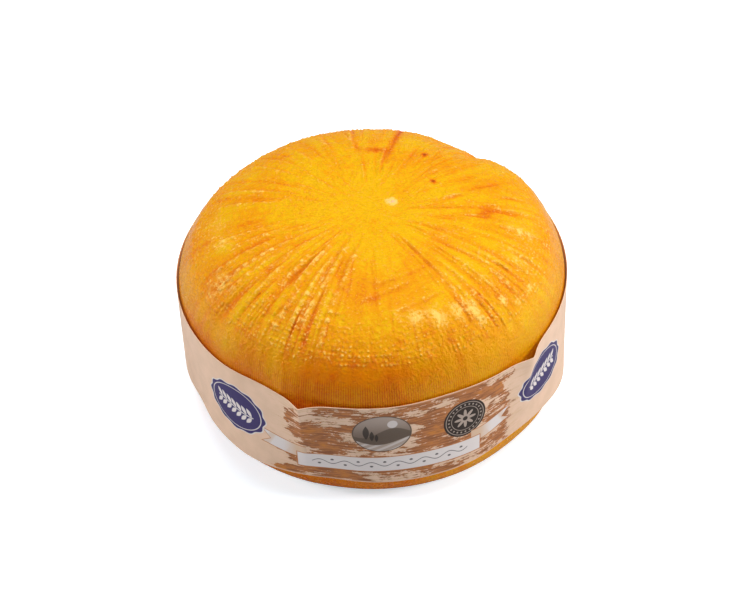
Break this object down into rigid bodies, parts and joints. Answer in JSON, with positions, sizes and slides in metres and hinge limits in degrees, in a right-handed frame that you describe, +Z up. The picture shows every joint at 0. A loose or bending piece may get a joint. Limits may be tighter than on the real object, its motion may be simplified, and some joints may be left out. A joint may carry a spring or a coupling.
{
  "type": "cheese wheel",
  "caption": "Whole wheel of cheese with a glossy orange rind, creased by its pressing cloth, in a printed paper band round the side.",
  "frame": {"origin": "centre of the underside, on the surface that the wheel stands on", "axes": "+Z up along the wheel's axis, -Y towards the printed front"},
  "size_m": [0.1929, 0.1928, 0.1031],
  "materials": {
    "rind": "glossy oiled orange-yellow rind",
    "paper": "printed paper with a slight sheen"
  },
  "bodies": {
    "root": {"cheese": "rind", "band": "paper"}
  },
  "joints": []
}
